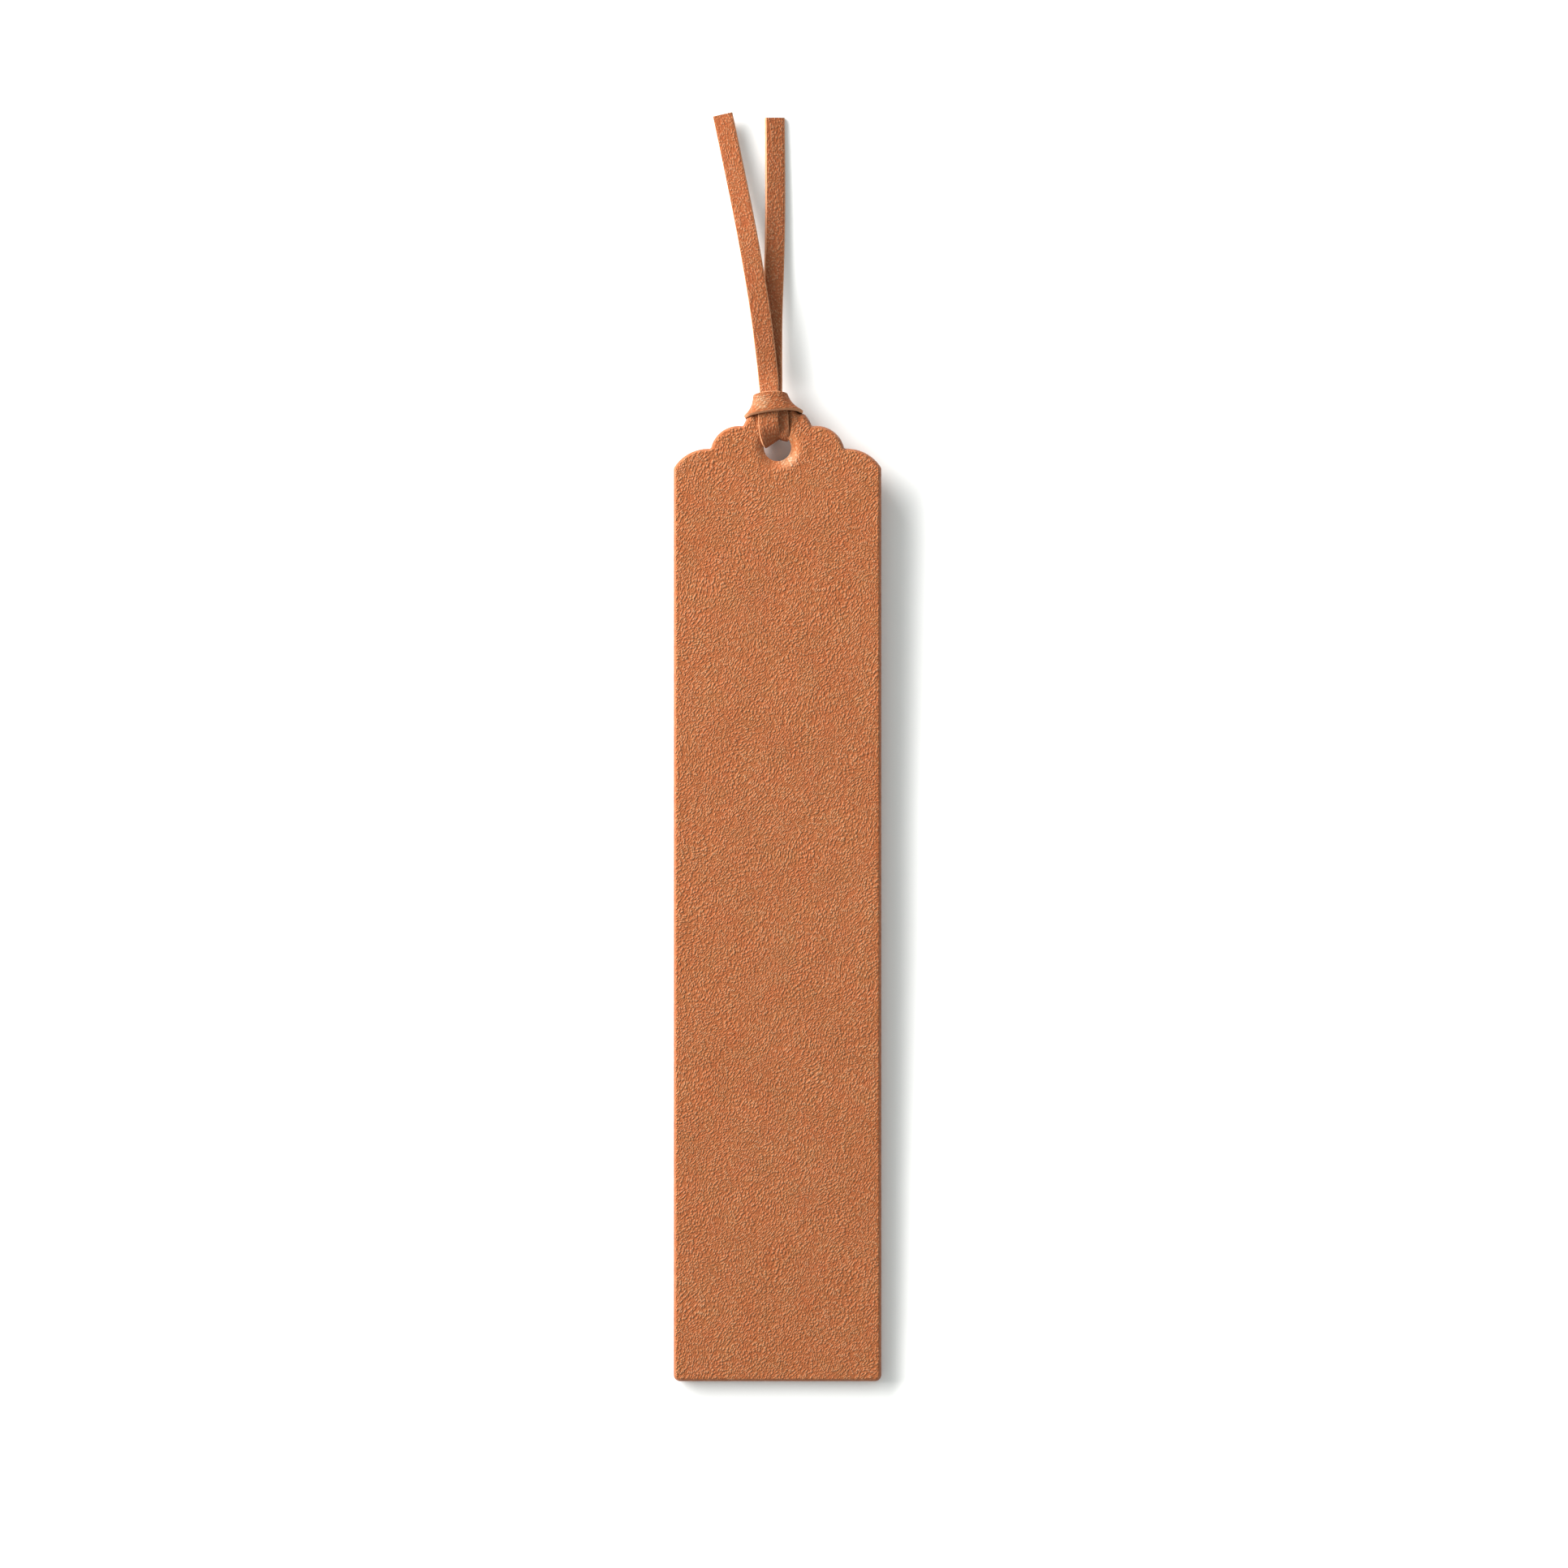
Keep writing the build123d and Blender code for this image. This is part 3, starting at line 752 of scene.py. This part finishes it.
# hitch: (lower or left edge, upper or right edge), in travel order; last two numbers are cup and bevel
HITCH = [
    ((-2.72, 150.60, 3.06), (0.26, 150.60, 3.26), 0.0, 0.06),
    ((-3.02, 149.40, 3.02), (0.06, 149.40, 3.29), 0.0, 0.12),
    ((-3.00, 148.50, 3.07), (0.08, 148.50, 3.40), -0.04, 0.14),
    ((-2.97, 147.70, 3.09), (0.11, 147.75, 3.38), -0.04, 0.12),
    ((-2.91, 146.90, 3.06), (0.16, 147.05, 3.17), 0.02, 0.10),
    ((-2.80, 146.10, 3.00), (0.23, 146.45, 2.82), 0.10, 0.09),
    ((-2.58, 145.10, 2.92), (0.29, 146.00, 2.40), 0.16, 0.09),
    ((-2.27, 144.25, 2.74), (0.33, 145.72, 1.95), 0.14, 0.09),
    ((-2.02, 143.90, 2.34), (0.38, 145.60, 1.54), 0.06, 0.08),
    ((-1.95, 143.94, 1.68), (0.38, 145.56, 1.14), 0.0, 0.06),
    ((-2.06, 144.24, 0.78), (0.30, 145.64, 0.58), 0.0, 0.05),
    ((-2.42, 144.80, 0.34), (0.10, 146.15, 0.28), 0.0, 0.05),
    ((-3.10, 145.85, 0.24), (-0.48, 147.30, 0.24), 0.0, 0.05),
    ((-4.08, 147.20, 0.38), (-1.42, 148.75, 0.32), 0.0, 0.05),
    ((-4.72, 148.12, 0.72), (-2.34, 150.35, 0.50), 0.06, 0.06),
    ((-5.02, 148.52, 1.40), (-3.16, 151.40, 1.18), 0.22, 0.12),
    ((-5.04, 148.60, 2.10), (-3.54, 151.75, 1.98), 0.38, 0.18),
    ((-4.80, 148.70, 2.82), (-3.50, 151.98, 2.62), 0.40, 0.22),
    ((-4.18, 148.86, 3.38), (-3.18, 152.24, 3.14), 0.30, 0.24),
    ((-3.12, 149.08, 3.78), (-2.48, 152.44, 3.48), 0.18, 0.24),
    ((-1.60, 149.34, 4.00), (-1.44, 152.58, 3.68), 0.10, 0.24),
    ((-0.10, 149.54, 4.02), (-0.48, 152.60, 3.70), 0.08, 0.24),
    ((1.36, 149.66, 3.86), (0.34, 152.58, 3.58), 0.10, 0.24),
    ((2.46, 149.68, 3.48), (0.86, 152.46, 3.30), 0.20, 0.24),
    ((3.40, 149.58, 2.96), (1.22, 152.26, 2.82), 0.32, 0.24),
    ((3.94, 149.34, 2.28), (1.34, 151.94, 2.20), 0.42, 0.22),
    ((3.94, 149.22, 1.60), (1.24, 151.60, 1.60), 0.30, 0.16),
    ((3.64, 148.98, 1.06), (0.88, 151.00, 1.10), 0.12, 0.08),
    ((3.02, 147.75, 0.97), (0.12, 149.60, 0.97), 0.0, 0.05),
    ((2.24, 145.95, 0.96), (-0.72, 147.55, 0.96), 0.0, 0.05),
    ((1.72, 145.10, 0.97), (-1.16, 146.20, 0.97), 0.0, 0.05),
    ((1.60, 144.95, 1.12), (-1.16, 145.78, 1.10), 0.0, 0.05),
    ((1.62, 145.05, 1.46), (-1.00, 145.78, 1.40), 0.0, 0.05),
    ((1.72, 145.16, 1.86), (-0.95, 145.80, 1.76), 0.0, 0.08),
    ((1.81, 145.46, 2.22), (-1.10, 145.95, 2.10), 0.0, 0.12),
    ((1.84, 145.95, 2.50), (-1.30, 146.20, 2.40), 0.0, 0.15),
    ((1.80, 146.80, 2.72), (-1.36, 146.90, 2.62), 0.0, 0.15),
    ((1.74, 147.60, 2.86), (-1.40, 147.65, 2.76), 0.0, 0.15),
    ((1.69, 148.40, 2.90), (-1.43, 148.40, 2.82), 0.0, 0.14),
    ((1.63, 149.20, 2.86), (-1.47, 149.20, 2.81), 0.0, 0.12),
    ((1.16, 150.40, 2.84), (-1.90, 150.40, 2.84), 0.0, 0.06),
]


def through(points, step):
    """A smooth curve through the stations (centripetal Catmull-Rom), about one point per step."""
    p = np.asarray(points, float)
    p = np.vstack([2 * p[0] - p[1], p, 2 * p[-1] - p[-2]])
    centre = (p[:, :3] + p[:, 3:6]) / 2
    out = []
    for i in range(1, len(p) - 2):
        q = p[i - 1 : i + 3]
        c = centre[i - 1 : i + 3]
        k = np.concatenate([[0], np.cumsum(np.sqrt(np.maximum(np.linalg.norm(np.diff(c, axis=0), axis=1), 1e-6)))])
        count = max(2, int(round(np.linalg.norm(c[2] - c[1]) / step)))
        for t in np.linspace(k[1], k[2], count, endpoint=False):
            a1 = (k[1] - t) / (k[1] - k[0]) * q[0] + (t - k[0]) / (k[1] - k[0]) * q[1]
            a2 = (k[2] - t) / (k[2] - k[1]) * q[1] + (t - k[1]) / (k[2] - k[1]) * q[2]
            a3 = (k[3] - t) / (k[3] - k[2]) * q[2] + (t - k[2]) / (k[3] - k[2]) * q[3]
            b1 = (k[2] - t) / (k[2] - k[0]) * a1 + (t - k[0]) / (k[2] - k[0]) * a2
            b2 = (k[3] - t) / (k[3] - k[1]) * a2 + (t - k[1]) / (k[3] - k[1]) * a3
            out.append((k[2] - t) / (k[2] - k[1]) * b1 + (t - k[1]) / (k[2] - k[1]) * b2)
    out.append(p[-2])
    return np.array(out)


SEAM = 155.4 - Y0


i_left = int(np.argmin(np.abs(left_line[:, 1] - SEAM)))
i_right = int(np.argmin(np.abs(right_line[:, 1] - SEAM)))
left_part = np.hstack([l1, l2, np.zeros((len(l1), 1)), np.full((len(l1), 1), 0.08), np.full((len(l1), 1), 0.14)])
right_part = np.hstack([r1, r2, np.zeros((len(r1), 1)), np.full((len(r1), 1), 0.18), np.full((len(r1), 1), 0.22)])
stations = [[a[0], a[1] - Y0, a[2], b[0], b[1] - Y0, b[2], cup, bev, 0.6 * bev if bev > 0.16 else 0.02] for a, b, cup, bev in HITCH]
mid_part = through(np.vstack([left_part[-1], stations, right_part[0]]), 0.16)
# relax the hitch a little, so that the strip bends as evenly as leather does
for _ in range(6):
    mid_part[1:-1] = 0.5 * mid_part[1:-1] + 0.25 * (mid_part[:-2] + mid_part[2:])
strip = np.vstack([left_part[:-1], mid_part, right_part[1:]])
cut_1 = i_left
cut_2 = len(left_part) - 1 + len(mid_part) - 1 + i_right


def resample(a, step):
    c = (a[:, :3] + a[:, 3:6]) / 2
    s = np.concatenate([[0], np.cumsum(np.linalg.norm(np.diff(c, axis=0), axis=1))])
    n = max(2, int(round(s[-1] / step)))
    u = np.linspace(0, s[-1], n + 1)
    return np.array([np.interp(u, s, a[:, k]) for k in range(a.shape[1])]).T


left_piece = resample(strip[: cut_1 + 1], 0.45)
hitch_piece = resample(strip[cut_1 : cut_2 + 1], 0.16)
right_piece = resample(strip[cut_2:], 0.45)
n1, n2 = len(left_piece), len(hitch_piece)
strip = np.vstack([left_piece[:-1], hitch_piece[:-1], right_piece])
cut_1, cut_2 = n1 - 1, n1 - 1 + n2 - 1

centre = (strip[:, :3] + strip[:, 3:6]) / 2
tangent = np.gradient(centre, axis=0)
tangent /= np.linalg.norm(tangent, axis=1)[:, None]
ruling = strip[:, 3:6] - strip[:, :3]
width = np.linalg.norm(ruling, axis=1)
ruling /= width[:, None]
normal = np.cross(tangent, ruling)
normal /= np.linalg.norm(normal, axis=1)[:, None]
travel = np.concatenate([[0], np.cumsum(np.linalg.norm(np.diff(centre, axis=0), axis=1))])

# the ends of the lace are pared a little thinner
thick = LACE_T - 0.06 * smoothstep(168.0 - Y0, 190.0 - Y0, centre[:, 1])

TOP_N, SIDE_N = 12, 4


def section(w, cup, bev_1, bev_2, t):
    """One cross-section, round from the grain side: (along the ruling, along the normal)."""
    hw, ht = w / 2, t / 2
    pts = []
    a1, a2 = -(hw - bev_1), hw - bev_2
    for i in range(TOP_N + 1):
        v = -1 + 2 * i / TOP_N
        edge_drop = 0.05 * max(0.0, abs(v) - 0.72) ** 2 / 0.28**2
        pts.append((a1 + (a2 - a1) * (v + 1) / 2, ht - edge_drop - cup * (1 - v * v)))
    for i in range(1, SIDE_N):
        f = i / SIDE_N
        pts.append((a2 + bev_2 * f + 0.04 * math.sin(math.pi * f), ht - 0.05 - (t - 0.08) * f))
    for i in range(TOP_N + 1):
        v = 1 - 2 * i / TOP_N
        pts.append((v * hw, -ht - cup * (1 - v * v) + 0.03 * max(0.0, abs(v) - 0.8) / 0.2))
    for i in range(1, SIDE_N):
        f = 1 - i / SIDE_N
        pts.append((a1 - bev_1 * f - 0.04 * math.sin(math.pi * f), ht - 0.05 - (t - 0.08) * f))
    return pts


def lace_mesh(name, i0, i1, cap_start, cap_end):
    verts, faces, kinds, uvs = [], [], [], []
    count = None
    for i in range(i0, i1 + 1):
        sec = section(width[i], strip[i, 6], strip[i, 7], strip[i, 8], thick[i])
        count = len(sec)
        for v, h in sec:
            verts.append(centre[i] + ruling[i] * v + normal[i] * h)
            uvs.append((v, travel[i]))
    kind = []
    for k in range(count):
        if k < TOP_N:
            kind.append(0)
        elif k < TOP_N + SIDE_N:
            kind.append(1)
        elif k < 2 * TOP_N + SIDE_N:
            kind.append(2)
        else:
            kind.append(1)
    rows = i1 - i0 + 1
    for r in range(rows - 1):
        for k in range(count):
            j = (k + 1) % count
            faces.append((r * count + k, r * count + j, (r + 1) * count + j, (r + 1) * count + k))
            kinds.append(kind[k])
    for cap, row, flip in ((cap_start, 0, False), (cap_end, rows - 1, True)):
        ring = [row * count + k for k in range(count)]
        # a cap of strips between the grain side and the flesh side
        for k in range(TOP_N):
            a, b = ring[k], ring[k + 1]
            c, d = ring[2 * TOP_N + SIDE_N - k - 1], ring[2 * TOP_N + SIDE_N - k]
            q = (a, d, c, b)
            faces.append(q if not flip else q[::-1])
            kinds.append(1)
        left_side = [ring[0]] + [ring[(2 * TOP_N + SIDE_N + i) % count] for i in range(0, SIDE_N)][::-1]
        right_side = [ring[TOP_N + i] for i in range(0, SIDE_N + 1)]
        faces.append(tuple(right_side if flip else right_side[::-1]))
        kinds.append(1)
        faces.append(tuple(left_side if flip else left_side[::-1]))
        kinds.append(1)
    me = bpy.data.meshes.new(name)
    # the sections run one way round and the travel the other, so the faces are turned to look outwards
    faces = [f[::-1] for f in faces]
    me.from_pydata([tuple(c * MM for c in v) for v in verts], [], faces)
    me.polygons.foreach_set("material_index", kinds)
    me.polygons.foreach_set("use_smooth", [True] * len(faces))
    layer = me.uv_layers.new(name="strip")
    loop_uv = np.array([(uvs[v][0] * MM, uvs[v][1] * MM) for f in faces for v in f], np.float32)
    layer.data.foreach_set("uv", loop_uv.ravel())
    me.update()
    # crisp line where the grain side meets the cut edge
    sharp = me.attributes.new("sharp_edge", "BOOLEAN", "EDGE")
    ev = np.zeros(len(me.edges) * 2, int)
    me.edges.foreach_get("vertices", ev)
    ev = ev.reshape(-1, 2)
    ka, kb = ev[:, 0] % count, ev[:, 1] % count
    ra, rb = ev[:, 0] // count, ev[:, 1] // count
    corner = np.isin(ka, [0, TOP_N, TOP_N + SIDE_N, 2 * TOP_N + SIDE_N]) & (ka == kb)
    ends = (ra == rb) & ((ra == 0) | (ra == rows - 1))
    sharp.data.foreach_set("value", corner | ends)
    me.update()
    return me


hitch = link("lace_hitch", lace_mesh("lace_hitch", cut_1, cut_2, True, True))
tail_l = link("lace_tail_left_strip", lace_mesh("lace_tail_left_strip", 0, cut_1, True, True))
tail_r = link("lace_tail_right_strip", lace_mesh("lace_tail_right_strip", cut_2, len(strip) - 1, True, True))
for ob in (hitch, tail_l, tail_r):
    dress(ob, lace_mat, cut_mat, flesh_mat)


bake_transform(hitch)
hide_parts("lace_collar", "lace_leg_left", "lace_leg_right", "lace_neck_left", "lace_neck_right")
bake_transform(tail_l)
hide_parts("lace_tail_left")
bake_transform(tail_r)
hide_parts("lace_tail_right")


# ------------------------------------------------------------------ white sweep
# the lace behind the head lifts that end, so the sheet falls away slowly under it, then runs level under the tails
def floor_z(y):
    """Height of the sheet at y, mm."""
    slope = -(1.27 + 0.52) / 149.0
    y1, y2, level = 68.0, 98.0, -0.30
    if y <= y1:
        return 1.27 + slope * (y + 76.0)
    if y >= y2:
        return level
    start, span, t = 1.27 + slope * (y1 + 76.0), y2 - y1, (y - y1) / (y2 - y1)
    return (2 * t**3 - 3 * t**2 + 1) * start + (t**3 - 2 * t**2 + t) * span * slope + (3 * t**2 - 2 * t**3) * level


rows = [-1500.0, -160.0, -90.0, -40.0, 20.0, 60.0] + [68.0 + 2.0 * i for i in range(16)] + [110.0, 140.0, 200.0, 1500.0]
S = 1500.0
me = bpy.data.meshes.new("sweep")
me.from_pydata(
    [(sx * S * MM, y * MM, floor_z(y) * MM) for y in rows for sx in (-1, 1)],
    [],
    [(2 * i, 2 * i + 1, 2 * i + 3, 2 * i + 2) for i in range(len(rows) - 1)],
)
me.polygons.foreach_set("use_smooth", [True] * len(me.polygons))
floor = link("sweep", me)
fm, fnt, fb = new_material("white_paper")
fb.inputs["Base Color"].default_value = (0.90, 0.90, 0.905, 1.0)
fb.inputs["Roughness"].default_value = 0.9
fb.inputs["Specular IOR Level"].default_value = 0.1
dress(floor, fm)

# ------------------------------------------------------------------ light
world = bpy.data.worlds.new("studio")
bpy.context.scene.world = world
world.use_nodes = True
bg = world.node_tree.nodes["Background"]
# a dim ceiling, bright walls and a darker skirting: light wraps the sides without veiling the face
wt = world.node_tree
wc = wt.nodes.new("ShaderNodeTexCoord")
wx = wt.nodes.new("ShaderNodeSeparateXYZ")
wt.links.new(wc.outputs["Generated"], wx.inputs["Vector"])
wr = wt.nodes.new("ShaderNodeValToRGB")
wr.color_ramp.elements[0].position = 0.0
wr.color_ramp.elements[0].color = (0.50, 0.52, 0.50, 1.0)
wr.color_ramp.elements[1].position = 1.0
wr.color_ramp.elements[1].color = (0.16, 0.167, 0.162, 1.0)
wall = wr.color_ramp.elements.new(0.2)
wall.color = (1.26, 1.31, 1.27, 1.0)
wt.links.new(wx.outputs["Z"], wr.inputs["Fac"])
wt.links.new(wr.outputs["Color"], bg.inputs["Color"])
bg.inputs["Strength"].default_value = 1.0


def area(name, pos, target, size_x, size_y, power, color=(1, 1, 1)):
    d = bpy.data.lights.new(name, "AREA")
    d.shape = "RECTANGLE"
    d.size, d.size_y = size_x, size_y
    d.energy = power
    d.color = color
    o = bpy.data.objects.new(name, d)
    bpy.context.scene.collection.objects.link(o)
    o.location = pos
    o.rotation_euler = (Vector(target) - Vector(pos)).to_track_quat("-Z", "Y").to_euler()
    return o


# a long strip of soft light, low on the left and a little towards the head
AZ, EL, FAR = math.radians(31.0), math.radians(19.5), 0.77
aim = Vector((0.0, 0.03, 0.0))
key_dir = Vector((-math.cos(EL) * math.cos(AZ), math.cos(EL) * math.sin(AZ), math.sin(EL)))
key = area("key", aim + key_dir * FAR, aim, 1.14, 0.19, 26.5, (1.0, 0.985, 0.96))
# it is feathered off the leather, so it lays no glare along the face
key.visible_glossy = False

view = bpy.context.scene.view_settings
view.view_transform = "Standard"
view.look = "None"
view.exposure = 0.0
view.gamma = 1.0
